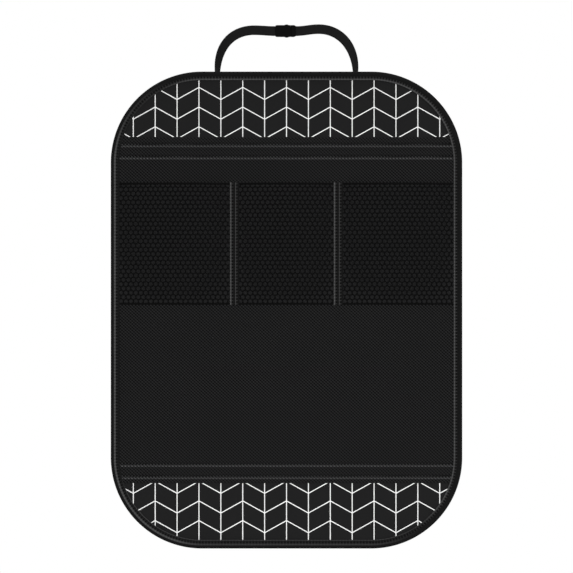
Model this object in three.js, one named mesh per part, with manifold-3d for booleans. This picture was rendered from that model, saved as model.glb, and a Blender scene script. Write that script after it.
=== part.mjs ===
// A kick mat that hangs on the back of a car seat.
//
// The mat is a sewn stack of cloth held by one binding all round. From the seat forwards it has a
// backing, a printed cloth that shows above and below, a plain twill panel across the middle, and a
// strip of mesh that two upright tapes divide into three pockets. Two lengths of webbing rise from
// the top edge and close round the headrest posts with a small side release buckle.
//
// Millimetres. X runs along the mat, Y points back to the seat and Z points up. The origin is the
// centre of the flat rear face, which lies against the seat.

import * as THREE from "three";
import { mergeVertices } from "three/addons/utils/BufferGeometryUtils.js";
import Module from "manifold-3d";

const wasm = await Module();
wasm.setup();

// Mat
const MAT_WIDTH = 456;
const MAT_HEIGHT = 619;
const CORNER_RADIUS = 118;

// Cloth thicknesses, from the seat forwards
const BACK_CLOTH = 0.75;
const PRINT_CLOTH = 0.75;
const PANEL_CLOTH = 0.75;
const MESH_CLOTH = 0.75;
const INK = 0.25;

// Edge binding, a tape folded over the edge of the stack
const BINDING_CLOTH = 0.75;
const BINDING_WIDTH = 10;
const BINDING_STITCH_INSET = 7.2;
const SEAM_ROUND_SHARE = 1.8;

// Twill panel and its two pairs of stitch rows
const PANEL_HEIGHT = 450;
const ROW_INSET = 9.5;
const ROW_SPACING = 15.8;

// Print: upright lines with slanted strokes between them
const COLUMN_PITCH = 28.44;
const STROKE_PITCH = 25.586;
const FIRST_STROKES = 5.27;
const STROKE_RISE = 15.8;
const COLUMN_LINE = 1.4;
const STROKE_LINE = 1.4;

// Mesh pockets
const POCKET_MOUTH = 165.4;
const POCKET_FOOT = 7;
const POCKET_BULGE = 14;
const MOUTH_ELASTIC = 2;
const FOOT_TAPE = 1.8;
const MESH_PITCH = 24.4;
const MESH_OPEN_SHARE = 0.7;

// Upright tapes between the pockets
const TAPE_OFFSET = 67.4;
const TAPE_WIDTH = 12;
const TAPE_THICKNESS = 0.75;
const TAPE_OVERRUN = 0.6;
const TAPE_STITCH_OFFSET = 2.9;
const TAPE_STITCH_END = 1;

// Thread that stands proud of the cloth
const THREAD_WIDTH = 0.9;
const THREAD_HEIGHT = 0.3;

// Webbing strap
const WEBBING_WIDTH = 11.6;
const WEBBING_THICKNESS = 1;
const STRAP_OFFSET = 89.8;
const LEG_TWIST_DEGREES = 56;
const ARCH_RISE_LEFT = 54.3;
const ARCH_RISE_RIGHT = 55.7;
const ARCH_SHOULDER = 42;
const TAIL_SEWN = 5;
const TAIL_FOLD = 13;
const TACK_HEIGHT = 2.4;
const TACK_MARGIN = 1;

// Side release buckle
const BUCKLE_RISE = 53.3;
const BUCKLE_LEFT = -14.6;
const BUCKLE_RIGHT = 12.4;
const BUCKLE_SPLIT = 5.6;
const BUCKLE_HEIGHT = 15.2;
const BUCKLE_THICKNESS = 6.4;
const BUCKLE_CORNER = 2.4;
const BUCKLE_EDGE = 0.8;
const BUCKLE_BAR_RADIUS = 0.75;
const BUCKLE_BAR_INSET = 2.4;
const BUCKLE_MOUTH = 1;
const BUCKLE_SIDE_WALL = 1.1;
const PLUG_SHOULDER = 2.5;
const PLUG_TAPER = 1.3;
const PLUG_OPEN_END = 1.2;
const WINDOW_WALL = 2.1;
const WINDOW_LENGTH = 8.4;
const PRONG_THICKNESS = 3.2;
const PRONG_WIDTH = 1.6;
const PRONG_PROUD = 0.9;
const PRONG_POINT = 1.3;
const PRONG_HEAD_SHARE = 0.73;
const PRONG_ROOT = 1;

const CLEARANCE = 0.3;

// How far a cutter runs past what it cuts
const CUT_PAST = 1;

// Facets and steps along the curves
const ARC_FACETS = 8;
const EDGE_FACETS = 3;
const LEG_STEPS = 10;
const SHOULDER_STEPS = 24;
const CROWN_STEPS = 8;
const WRAP_STEPS = 8;
const BAR_FACETS = 12;
const ELASTIC_STEPS = 12;

// Handle length of a cubic curve that draws a quarter of a circle of radius 1
const QUARTER_HANDLE = 0.5523;

// Depths of the layers. The seat side of the mat is at 0 and the front is the most negative.
const BACK_REAR = -BINDING_CLOTH;
const BACK_FRONT = BACK_REAR - BACK_CLOTH;
const PRINT_FRONT = BACK_FRONT - PRINT_CLOTH;
const PANEL_FRONT = PRINT_FRONT - PANEL_CLOTH;
const MESH_FRONT = PANEL_FRONT - MESH_CLOTH;
const TAPE_FRONT = MESH_FRONT - TAPE_THICKNESS;
const BINDING_FRONT = MESH_FRONT - BINDING_CLOTH;
const MAT_TOP = MAT_HEIGHT / 2;
const WINDOW_HALF_WIDTH = MAT_WIDTH / 2 - BINDING_WIDTH;
const PANEL_TOP = PANEL_HEIGHT / 2;
const MESH_TOP = POCKET_MOUTH - MOUTH_ELASTIC - CLEARANCE;
const MESH_BOTTOM = POCKET_FOOT + FOOT_TAPE + CLEARANCE;

const SEAM_ROUND = SEAM_ROUND_SHARE * BINDING_CLOTH;
const WRAP_RADIUS = BUCKLE_BAR_RADIUS + CLEARANCE + WEBBING_THICKNESS / 2;
const BUCKLE_CENTRE_Z = MAT_TOP + BUCKLE_RISE;

const cloth = (color) => new THREE.MeshStandardMaterial({ color, roughness: 0.9, metalness: 0 });
const plastic = (color) => new THREE.MeshStandardMaterial({ color, roughness: 0.45, metalness: 0 });
const MATERIALS = {
  backing: cloth(0x1b1b1c),
  printed: cloth(0x232324),
  ink: cloth(0xf6f6f4),
  twill: cloth(0x1e1e1e),
  mesh: cloth(0x111111),
  tape: cloth(0x1b1b1b),
  thread: cloth(0x0e0e0e),
  webbing: cloth(0x1c1c1c),
  buckle: plastic(0x101010),
};

const mat = new THREE.Group();

// Adds one named piece to the mat.
function addPiece(name, material, geometry) {
  geometry.computeVertexNormals();
  const mesh = new THREE.Mesh(geometry, MATERIALS[material]);
  mesh.name = name;
  mat.add(mesh);
}

// Turns a closed geometry into a solid that can be cut and joined.
function toSolid(geometry) {
  const bare = geometry.clone();
  bare.deleteAttribute("normal");
  bare.deleteAttribute("uv");
  const merged = mergeVertices(bare, 1e-4);
  const mesh = new wasm.Mesh({
    numProp: 3,
    vertProperties: Float32Array.from(merged.attributes.position.array),
    triVerts: Uint32Array.from(merged.index.array),
  });
  return new wasm.Manifold(mesh);
}

const joined = (solids) => solids.reduce((sum, next) => sum.add(next));

function toGeometry(solid) {
  const { vertProperties, triVerts } = solid.getMesh();
  const geometry = new THREE.BufferGeometry();
  geometry.setAttribute("position", new THREE.BufferAttribute(vertProperties, 3));
  geometry.setIndex(new THREE.BufferAttribute(triVerts, 1));
  return geometry;
}

// The mat's outline, moved in from the edge.
function matOutline(inset) {
  const radius = CORNER_RADIUS - inset;
  const x = MAT_WIDTH / 2 - CORNER_RADIUS;
  const z = MAT_HEIGHT / 2 - CORNER_RADIUS;
  const quarter = Math.PI / 2;
  const outline = new THREE.Shape();
  outline.absarc(x, z, radius, 0, quarter);
  outline.absarc(-x, z, radius, quarter, 2 * quarter);
  outline.absarc(-x, -z, radius, 2 * quarter, 3 * quarter);
  outline.absarc(x, -z, radius, 3 * quarter, 4 * quarter);
  return outline;
}

function polygon(points) {
  return new THREE.Shape(points.map(([x, z]) => new THREE.Vector2(x, z)));
}

function rectangle(x0, x1, z0, z1) {
  return polygon([[x0, z0], [x1, z0], [x1, z1], [x0, z1]]);
}

// An outline drawn in X and Z, given thickness between two depths.
function slab(outline, rear, front) {
  const options = { depth: rear - front, bevelEnabled: false, curveSegments: ARC_FACETS };
  const geometry = new THREE.ExtrudeGeometry(outline, options);
  geometry.rotateX(Math.PI / 2);
  return geometry.translate(0, rear, 0);
}

// The same with rounded edges.
function softSlab(outline, rear, front, round) {
  const geometry = new THREE.ExtrudeGeometry(outline, {
    depth: rear - front - 2 * round,
    bevelThickness: round,
    bevelSize: round,
    bevelOffset: -round,
    bevelSegments: EDGE_FACETS,
    curveSegments: ARC_FACETS,
  });
  geometry.rotateX(Math.PI / 2);
  return geometry.translate(0, rear - round, 0);
}

const solidSlab = (outline, rear, front) => toSolid(slab(outline, rear, front));

// What shows inside the binding, as a cutter for pieces that stop at its edge.
function trimToWindow(solid) {
  const window = solidSlab(matOutline(BINDING_WIDTH + CLEARANCE), CUT_PAST, BINDING_FRONT - CUT_PAST);
  return solid.intersect(window);
}

// A straight band across the whole mat between two heights.
function band(bottom, top, rear, front) {
  return solidSlab(rectangle(-MAT_WIDTH, MAT_WIDTH, bottom, top), rear, front);
}

const clothOutline = () => matOutline(BINDING_CLOTH + CLEARANCE);

// The backing is full in the middle and pressed thin where the binding grips it.
function backPanel() {
  const gripped = solidSlab(clothOutline(), BACK_REAR, BACK_FRONT);
  const full = solidSlab(matOutline(BINDING_WIDTH + CLEARANCE), 0, BACK_FRONT);
  return toGeometry(gripped.add(full));
}

function printPanel() {
  return slab(clothOutline(), BACK_FRONT, PRINT_FRONT);
}

function centrePanel() {
  const whole = solidSlab(clothOutline(), PRINT_FRONT, PANEL_FRONT);
  return toGeometry(whole.intersect(band(-PANEL_TOP, PANEL_TOP, 0, BINDING_FRONT)));
}

// One zigzag of strokes right across the mat. It peaks on the even columns.
function strokeRow(height) {
  const columns = Math.ceil(MAT_WIDTH / 2 / COLUMN_PITCH);
  const slope = Math.atan2(STROKE_RISE, COLUMN_PITCH);
  const half = STROKE_LINE / 2 / Math.cos(slope);
  const upper = [];
  const lower = [];
  for (let column = -columns; column <= columns; column += 1) {
    const peak = column % 2 === 0 ? STROKE_RISE / 2 : -STROKE_RISE / 2;
    upper.push([column * COLUMN_PITCH, height + peak + half]);
    lower.unshift([column * COLUMN_PITCH, height + peak - half]);
  }
  return solidSlab(polygon([...upper, ...lower]), PRINT_FRONT, PRINT_FRONT - INK);
}

// The white lines above the panel (side 1) or below it (side -1), cut off at the binding.
function printLines(side) {
  const ends = [side * (PANEL_TOP + CLEARANCE), side * MAT_TOP];
  const [bottom, top] = [Math.min(...ends), Math.max(...ends)];
  const columns = Math.floor(WINDOW_HALF_WIDTH / COLUMN_PITCH);
  const ink = [];
  for (let column = -columns; column <= columns; column += 1) {
    const x = column * COLUMN_PITCH;
    const line = rectangle(x - COLUMN_LINE / 2, x + COLUMN_LINE / 2, bottom, top);
    ink.push(solidSlab(line, PRINT_FRONT, PRINT_FRONT - INK));
  }
  const rows = Math.ceil((MAT_TOP - PANEL_TOP) / STROKE_PITCH) + 1;
  for (let row = -1; row <= rows; row += 1) {
    ink.push(strokeRow(side * (PANEL_TOP + FIRST_STROKES + row * STROKE_PITCH)));
  }
  const field = band(bottom, top, PRINT_FRONT, PRINT_FRONT - INK);
  return trimToWindow(joined(ink).intersect(field));
}

// Adds one field of the print. Strokes that the edge cuts free are pieces of their own.
function addPrint(name, side) {
  const [whole, ...corners] = printLines(side)
    .decompose()
    .sort((a, b) => b.volume() - a.volume());
  addPiece(name, "ink", toGeometry(whole));
  corners.sort((a, b) => a.boundingBox().min[0] - b.boundingBox().min[0]);
  corners.forEach((corner, index) => {
    addPiece(`${name}_corner_${index + 1}`, "ink", toGeometry(corner));
  });
}

// The three bays of the mesh strip, each between two lines of sewing.
function pocketBays() {
  const inner = TAPE_OFFSET - TAPE_WIDTH / 2;
  const outer = TAPE_OFFSET + TAPE_WIDTH / 2;
  const side = WINDOW_HALF_WIDTH - CLEARANCE;
  return [[-side, -outer], [-inner, inner], [outer, side]];
}

// How far the slack mesh stands off the panel. It is sewn down at the foot and at each bay's sides.
function bulgeAt(x, z) {
  const bay = pocketBays().find(([left, right]) => x > left && x < right);
  if (!bay) return 0;
  const across = (x - bay[0]) / (bay[1] - bay[0]);
  const up = (z - MESH_BOTTOM) / (MESH_TOP - MESH_BOTTOM);
  return POCKET_BULGE * Math.sin(Math.PI * across) * Math.sin((Math.PI / 2) * Math.min(up, 1));
}

function hexagon(x, z, radius) {
  const points = [];
  for (let corner = 0; corner < 6; corner += 1) {
    const angle = ((corner + 0.5) * Math.PI) / 3;
    points.push(new THREE.Vector2(x + radius * Math.cos(angle), z + radius * Math.sin(angle)));
  }
  return new THREE.Path(points);
}

// One cell of the mesh, bellied out. A gap of radius 0 leaves the cell whole.
function meshCell(left, right, bottom, top, radius) {
  const middle = (left + right) / 2;
  const cell = polygon([
    [left, bottom], [middle, bottom], [right, bottom],
    [right, top], [middle, top], [left, top],
  ]);
  if (radius > 0) cell.holes.push(hexagon(middle, (bottom + top) / 2, radius));
  const geometry = slab(cell, PANEL_FRONT, MESH_FRONT);
  const position = geometry.attributes.position;
  for (let i = 0; i < position.count; i += 1) {
    position.setY(i, position.getY(i) - bulgeAt(position.getX(i), position.getZ(i)));
  }
  return toSolid(geometry);
}

// One row of cells. Every second row is moved along by half a cell, with whole cloth at its ends.
function meshRow([left, right], columns, bottom, top, shifted) {
  const pitch = (right - left) / columns;
  const tallest = (top - bottom) / Math.sin(Math.PI / 3);
  const radius = (MESH_OPEN_SHARE * Math.min(pitch, tallest)) / (2 * Math.cos(Math.PI / 6));
  const start = shifted ? left + pitch / 2 : left;
  const count = shifted ? columns - 1 : columns;
  const cells = Array.from({ length: count }, (_, i) => {
    return meshCell(start + i * pitch, start + (i + 1) * pitch, bottom, top, radius);
  });
  if (shifted) {
    cells.unshift(meshCell(left, start, bottom, top, 0));
    cells.push(meshCell(start + count * pitch, right, bottom, top, 0));
  }
  return joined(cells);
}

// A bay is a stack of such rows, from the foot to the mouth.
function meshBay(bay) {
  const columns = Math.max(1, Math.round((bay[1] - bay[0]) / MESH_PITCH));
  const height = MESH_TOP - MESH_BOTTOM;
  const rows = Math.max(1, Math.round(height / (MESH_PITCH * Math.sin(Math.PI / 3))));
  const levels = Array.from({ length: rows + 1 }, (_, i) => MESH_BOTTOM + (height * i) / rows);
  const strips = levels.slice(1).map((top, row) => {
    return meshRow(bay, columns, levels[row], top, row % 2 === 1);
  });
  return joined(strips);
}

// The mesh strip runs from binding to binding and lies flat under the tapes.
function meshStrip() {
  const bays = pocketBays();
  const edge = MAT_WIDTH / 2 - BINDING_CLOTH - CLEARANCE;
  const stops = [-edge, ...bays.flat(), edge];
  const pieces = bays.map(meshBay);
  for (let i = 0; i < stops.length; i += 2) {
    const flat = rectangle(stops[i], stops[i + 1], MESH_BOTTOM, MESH_TOP);
    pieces.push(solidSlab(flat, PANEL_FRONT, MESH_FRONT));
  }
  return toGeometry(joined(pieces));
}

// A flat ribbon bent along a line of points, with its width in the given directions.
function bentRibbon(points, widths, width, thickness) {
  const last = points.length - 1;
  const geometry = new THREE.BoxGeometry(width, thickness, 1, 1, 1, last);
  const frames = points.map((point, i) => {
    const ahead = points[Math.min(i + 1, last)].clone().sub(points[Math.max(i - 1, 0)]).normalize();
    const across = widths[i].clone().addScaledVector(ahead, -widths[i].dot(ahead)).normalize();
    return { point, across, normal: ahead.clone().cross(across) };
  });
  const position = geometry.attributes.position;
  for (let i = 0; i < position.count; i += 1) {
    const frame = frames[Math.round((position.getZ(i) + 0.5) * last)];
    const moved = frame.point.clone().addScaledVector(frame.across, position.getX(i));
    moved.addScaledVector(frame.normal, position.getY(i));
    position.setXYZ(i, moved.x, moved.y, moved.z);
  }
  return geometry;
}

const clothEdge = MAT_WIDTH / 2 - BINDING_CLOTH - CLEARANCE;

// The elastic at the pockets' mouth follows the mesh's top edge.
function mouthElastic() {
  const places = [-clothEdge];
  for (const [left, right] of pocketBays()) {
    for (let step = 0; step <= ELASTIC_STEPS; step += 1) {
      places.push(left + ((right - left) * step) / ELASTIC_STEPS);
    }
  }
  places.push(clothEdge);
  const height = POCKET_MOUTH - MOUTH_ELASTIC / 2;
  const depth = (PANEL_FRONT + MESH_FRONT) / 2;
  const points = places.map((x) => new THREE.Vector3(x, depth - bulgeAt(x, height), height));
  const upright = places.map(() => new THREE.Vector3(0, 0, 1));
  return bentRibbon(points, upright, MOUTH_ELASTIC, MESH_CLOTH);
}

// The binding is folded round the edge, with a groove for the stack of cloth that it grips.
function edgeBinding() {
  const folded = toSolid(softSlab(matOutline(0), 0, BINDING_FRONT, SEAM_ROUND));
  const window = solidSlab(matOutline(BINDING_WIDTH), CUT_PAST, BINDING_FRONT - CUT_PAST);
  const inside = (rear, front) => solidSlab(matOutline(BINDING_CLOTH), rear, front);
  const panel = band(-PANEL_TOP - CLEARANCE, PANEL_TOP + CLEARANCE, 0, BINDING_FRONT);
  const mesh = band(POCKET_FOOT - CLEARANCE, POCKET_MOUTH + CLEARANCE, 0, BINDING_FRONT);
  const groove = inside(BACK_REAR, PRINT_FRONT)
    .add(inside(PRINT_FRONT, PANEL_FRONT).intersect(panel))
    .add(inside(PANEL_FRONT, MESH_FRONT).intersect(mesh));
  return toGeometry(folded.subtract(window).subtract(groove));
}

function bindingStitch() {
  const ring = matOutline(BINDING_STITCH_INSET - THREAD_WIDTH / 2);
  ring.holes.push(matOutline(BINDING_STITCH_INSET + THREAD_WIDTH / 2));
  return slab(ring, BINDING_FRONT, BINDING_FRONT - THREAD_HEIGHT);
}

function panelStitch(height) {
  const half = THREAD_WIDTH / 2;
  const row = band(height - half, height + half, PANEL_FRONT, PANEL_FRONT - THREAD_HEIGHT);
  return toGeometry(trimToWindow(row));
}

const tapeFoot = POCKET_FOOT - TAPE_OVERRUN;
const tapeTop = POCKET_MOUTH + TAPE_OVERRUN;

function dividerTape(x) {
  const outline = rectangle(x - TAPE_WIDTH / 2, x + TAPE_WIDTH / 2, tapeFoot, tapeTop);
  return softSlab(outline, MESH_FRONT, TAPE_FRONT, TAPE_THICKNESS / 3);
}

function tapeStitch(x) {
  const half = THREAD_WIDTH / 2;
  const row = rectangle(x - half, x + half, tapeFoot + TAPE_STITCH_END, tapeTop - TAPE_STITCH_END);
  return slab(row, TAPE_FRONT, TAPE_FRONT - THREAD_HEIGHT);
}

// The webbing's sewn end, its height over the mat and where it meets the buckle.
const TAIL_FOOT = MAT_TOP - BINDING_WIDTH + CLEARANCE;
const BAR_Y = WEBBING_THICKNESS / 2 + WRAP_RADIUS;

// The leg leaves the sewing flat, is twisted most at the mat's edge and lies flat again on top.
function twistAt(z) {
  const sewn = TAIL_FOOT + TAIL_SEWN;
  if (z <= MAT_TOP) return LEG_TWIST_DEGREES * THREE.MathUtils.smoothstep(z, sewn, MAT_TOP);
  return LEG_TWIST_DEGREES * Math.max(0, 1 - (z - MAT_TOP) / BUCKLE_RISE);
}

// A webbing leg from the mat's rear, up and over to its buckle bar, round the bar and back.
// The line is drawn for the right hand side, and side is -1 for the left.
function strap(side, buckleEnd, rise) {
  const bar = buckleEnd - BUCKLE_BAR_INSET;
  const mouth = buckleEnd + BUCKLE_MOUTH;
  const top = MAT_TOP + rise;
  const flat = (x, z) => new THREE.Vector2(x, z);
  const leg = new THREE.LineCurve(flat(STRAP_OFFSET, TAIL_FOOT), flat(STRAP_OFFSET, MAT_TOP));
  const shoulder = new THREE.CubicBezierCurve(
    flat(STRAP_OFFSET, MAT_TOP),
    flat(STRAP_OFFSET, MAT_TOP + QUARTER_HANDLE * rise),
    flat(ARCH_SHOULDER + QUARTER_HANDLE * (STRAP_OFFSET - ARCH_SHOULDER), top),
    flat(ARCH_SHOULDER, top),
  );
  const reach = (ARCH_SHOULDER - mouth) / 2.5;
  const crown = new THREE.CubicBezierCurve(
    flat(ARCH_SHOULDER, top),
    flat(ARCH_SHOULDER - reach, top),
    flat(mouth + reach, BUCKLE_CENTRE_Z),
    flat(mouth, BUCKLE_CENTRE_Z),
  );
  const entry = new THREE.LineCurve(flat(mouth, BUCKLE_CENTRE_Z), flat(bar, BUCKLE_CENTRE_Z));
  const line = [
    leg.getPoints(LEG_STEPS),
    shoulder.getPoints(SHOULDER_STEPS).slice(1),
    crown.getPoints(CROWN_STEPS).slice(1),
    entry.getPoints(2).slice(1),
  ].flat();

  const points = [];
  const widths = [];
  line.forEach((point, i) => {
    const next = line[Math.min(i + 1, line.length - 1)];
    const along = next.clone().sub(line[Math.max(i - 1, 0)]).normalize();
    const twist = THREE.MathUtils.degToRad(twistAt(point.y));
    const proud = (WEBBING_WIDTH / 2 + CLEARANCE) * Math.sin(twist);
    const y = proud + (WEBBING_THICKNESS / 2) * Math.cos(twist);
    points.push(new THREE.Vector3(side * point.x, y, point.y));
    const across = new THREE.Vector3(side * along.y, 0, -along.x);
    widths.push(across.multiplyScalar(Math.cos(twist)).setY(Math.sin(twist)));
  });

  for (let step = 1; step <= WRAP_STEPS; step += 1) {
    const angle = (Math.PI * step) / WRAP_STEPS;
    const x = bar - WRAP_RADIUS * Math.sin(angle);
    const y = BAR_Y - WRAP_RADIUS * Math.cos(angle);
    points.push(new THREE.Vector3(side * x, y, BUCKLE_CENTRE_Z));
  }
  const wrapped = BAR_Y + WRAP_RADIUS;
  const sewn = WEBBING_THICKNESS * 1.5 + CLEARANCE;
  const back = [
    ...entry.getPoints(2).reverse().slice(1),
    ...crown.getPoints(CROWN_STEPS).reverse().slice(1),
  ];
  for (const point of back) {
    const out = point.x - mouth;
    if (out > TAIL_FOLD) break;
    const y = THREE.MathUtils.lerp(wrapped, sewn, THREE.MathUtils.smoothstep(out, 0, TAIL_FOLD / 2));
    points.push(new THREE.Vector3(side * point.x, y, point.y));
  }
  while (widths.length < points.length) {
    widths.push(new THREE.Vector3(0, 0, 1));
  }
  return bentRibbon(points, widths, WEBBING_WIDTH, WEBBING_THICKNESS);
}

// Thread that tacks a leg's end to the binding.
function strapTack(side) {
  const x = side * STRAP_OFFSET;
  const half = WEBBING_WIDTH / 2 - TACK_MARGIN;
  const z = TAIL_FOOT + TACK_MARGIN;
  const outline = rectangle(x - half, x + half, z, z + TACK_HEIGHT);
  return slab(outline, WEBBING_THICKNESS + THREAD_HEIGHT, WEBBING_THICKNESS);
}

const BUCKLE_HALF = BUCKLE_HEIGHT / 2;
const POCKET_HALF_Y = WRAP_RADIUS + WEBBING_THICKNESS / 2 + CLEARANCE;
const PRONG_TIP = BUCKLE_SPLIT - WINDOW_WALL - WINDOW_LENGTH - PRONG_POINT;

// A box round the buckle's middle, given by its ends along X and half its size in Z and in Y.
function buckleBlock(x0, x1, halfZ, halfY) {
  const outline = rectangle(x0, x1, BUCKLE_CENTRE_Z - halfZ, BUCKLE_CENTRE_Z + halfZ);
  return solidSlab(outline, BAR_Y + halfY, BAR_Y - halfY);
}

function buckleShell(outline) {
  const half = BUCKLE_THICKNESS / 2;
  return toSolid(softSlab(outline, BAR_Y + half, BAR_Y - half, BUCKLE_EDGE));
}

// The pocket at a buckle half's outer end, where the webbing goes in and round the bar.
function webbingPocket(end, side) {
  const depth = BUCKLE_BAR_INSET + POCKET_HALF_Y;
  const [x0, x1] = [end - side * depth, end + side * CUT_PAST].sort((a, b) => a - b);
  return buckleBlock(x0, x1, WEBBING_WIDTH / 2 + CLEARANCE, POCKET_HALF_Y);
}

function webbingBar(end, side) {
  const length = BUCKLE_HEIGHT - BUCKLE_SIDE_WALL;
  const bar = new THREE.CylinderGeometry(BUCKLE_BAR_RADIUS, BUCKLE_BAR_RADIUS, length, BAR_FACETS);
  bar.rotateX(Math.PI / 2);
  return toSolid(bar.translate(end - side * BUCKLE_BAR_INSET, BAR_Y, BUCKLE_CENTRE_Z));
}

// The socket is a flat sleeve with a window in each side for the plug's prongs.
function buckleSocket() {
  const [low, high] = [BUCKLE_CENTRE_Z - BUCKLE_HALF, BUCKLE_CENTRE_Z + BUCKLE_HALF];
  const outline = new THREE.Shape();
  outline.moveTo(BUCKLE_SPLIT, low);
  outline.lineTo(BUCKLE_SPLIT, high);
  outline.lineTo(BUCKLE_LEFT + BUCKLE_CORNER, high);
  outline.quadraticCurveTo(BUCKLE_LEFT, high, BUCKLE_LEFT, high - BUCKLE_CORNER);
  outline.lineTo(BUCKLE_LEFT, low + BUCKLE_CORNER);
  outline.quadraticCurveTo(BUCKLE_LEFT, low, BUCKLE_LEFT + BUCKLE_CORNER, low);
  const halfY = PRONG_THICKNESS / 2 + CLEARANCE;
  const windowRight = BUCKLE_SPLIT - WINDOW_WALL;
  const bore = buckleBlock(
    PRONG_TIP - 3 * CLEARANCE, BUCKLE_SPLIT + CUT_PAST, BUCKLE_HALF - BUCKLE_SIDE_WALL, halfY,
  );
  const windows = buckleBlock(windowRight - WINDOW_LENGTH, windowRight, BUCKLE_HEIGHT, halfY);
  const shell = buckleShell(outline)
    .subtract(bore)
    .subtract(windows)
    .subtract(webbingPocket(BUCKLE_LEFT, -1));
  return toGeometry(shell.add(webbingBar(BUCKLE_LEFT, -1)));
}

// A sprung prong: an arm whose head fills the socket's window and stands a little proud of it.
function prong(side) {
  const root = BUCKLE_SPLIT + CLEARANCE + PRONG_ROOT;
  const outer = BUCKLE_HALF - BUCKLE_SIDE_WALL - 3 * CLEARANCE;
  const inner = outer - PRONG_WIDTH;
  const catchX = BUCKLE_SPLIT - WINDOW_WALL - CLEARANCE;
  const headEnd = catchX - PRONG_HEAD_SHARE * WINDOW_LENGTH;
  const z = (offset) => BUCKLE_CENTRE_Z + side * offset;
  const outline = new THREE.Shape();
  outline.moveTo(root, z(inner));
  outline.lineTo(root, z(outer));
  outline.lineTo(catchX, z(outer));
  outline.lineTo(catchX, z(BUCKLE_HALF));
  const middle = (catchX + headEnd) / 2;
  outline.quadraticCurveTo(middle, z(BUCKLE_HALF + 2 * PRONG_PROUD), headEnd, z(BUCKLE_HALF));
  outline.lineTo(PRONG_TIP, z(inner + PRONG_WIDTH / 2));
  outline.lineTo(PRONG_TIP, z(inner));
  const halfY = PRONG_THICKNESS / 2;
  return solidSlab(outline, BAR_Y + halfY, BAR_Y - halfY);
}

// The plug has a base the socket's size, two prongs and a tongue between them.
function bucklePlug() {
  const left = BUCKLE_SPLIT + CLEARANCE;
  const taperStart = BUCKLE_RIGHT - PLUG_SHOULDER;
  const [low, high] = [BUCKLE_CENTRE_Z - BUCKLE_HALF, BUCKLE_CENTRE_Z + BUCKLE_HALF];
  const outline = polygon([
    [left, low], [taperStart, low], [BUCKLE_RIGHT, low + PLUG_TAPER],
    [BUCKLE_RIGHT, high - PLUG_TAPER], [taperStart, high], [left, high],
  ]);
  const openFrom = BUCKLE_RIGHT - PLUG_OPEN_END;
  const base = buckleShell(outline)
    .subtract(webbingPocket(BUCKLE_RIGHT, 1))
    .subtract(buckleBlock(openFrom, BUCKLE_RIGHT + CUT_PAST, BUCKLE_HEIGHT, POCKET_HALF_Y));
  const tongueTip = PRONG_TIP + PRONG_ROOT;
  const tongue = buckleBlock(tongueTip, left + PRONG_ROOT, PRONG_WIDTH / 2, PRONG_THICKNESS / 2);
  const plug = base.add(prong(1)).add(prong(-1)).add(tongue);
  return toGeometry(plug.add(webbingBar(BUCKLE_RIGHT, 1)));
}

addPiece("back_panel", "backing", backPanel());
addPiece("print_panel", "printed", printPanel());
addPrint("print_lines_top", 1);
addPrint("print_lines_bottom", -1);
addPiece("centre_panel", "twill", centrePanel());
addPiece("mesh_strip", "mesh", meshStrip());
addPiece("pocket_mouth_elastic", "tape", mouthElastic());
const footTape = rectangle(-clothEdge, clothEdge, POCKET_FOOT, POCKET_FOOT + FOOT_TAPE);
addPiece("pocket_foot_tape", "tape", slab(footTape, PANEL_FRONT, MESH_FRONT));
addPiece("edge_binding", "tape", edgeBinding());
addPiece("binding_stitch", "thread", bindingStitch());

const outerRow = PANEL_TOP - ROW_INSET;
const innerRow = outerRow - ROW_SPACING;
addPiece("panel_stitch_top_outer", "thread", panelStitch(outerRow));
addPiece("panel_stitch_top_inner", "thread", panelStitch(innerRow));
addPiece("panel_stitch_bottom_inner", "thread", panelStitch(-innerRow));
addPiece("panel_stitch_bottom_outer", "thread", panelStitch(-outerRow));

const hands = [
  ["left", -1, -BUCKLE_LEFT, ARCH_RISE_LEFT],
  ["right", 1, BUCKLE_RIGHT, ARCH_RISE_RIGHT],
];
for (const [hand, side, buckleEnd, rise] of hands) {
  const x = side * TAPE_OFFSET;
  addPiece(`divider_tape_${hand}`, "tape", dividerTape(x));
  addPiece(`divider_stitch_${hand}_outer`, "thread", tapeStitch(x + side * TAPE_STITCH_OFFSET));
  addPiece(`divider_stitch_${hand}_inner`, "thread", tapeStitch(x - side * TAPE_STITCH_OFFSET));
  addPiece(`strap_${hand}`, "webbing", strap(side, buckleEnd, rise));
  addPiece(`strap_tack_${hand}`, "thread", strapTack(side));
}
addPiece("buckle_socket", "buckle", buckleSocket());
addPiece("buckle_plug", "buckle", bucklePlug());

export default mat;
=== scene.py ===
"""Looks of a car seat kick mat: a bound cloth mat with mesh pockets and a buckled webbing strap.

Lengths are in millimetres until a mesh is made. X runs along the mat, Y back to the seat, Z up.
"""

import math
from functools import partial

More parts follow.
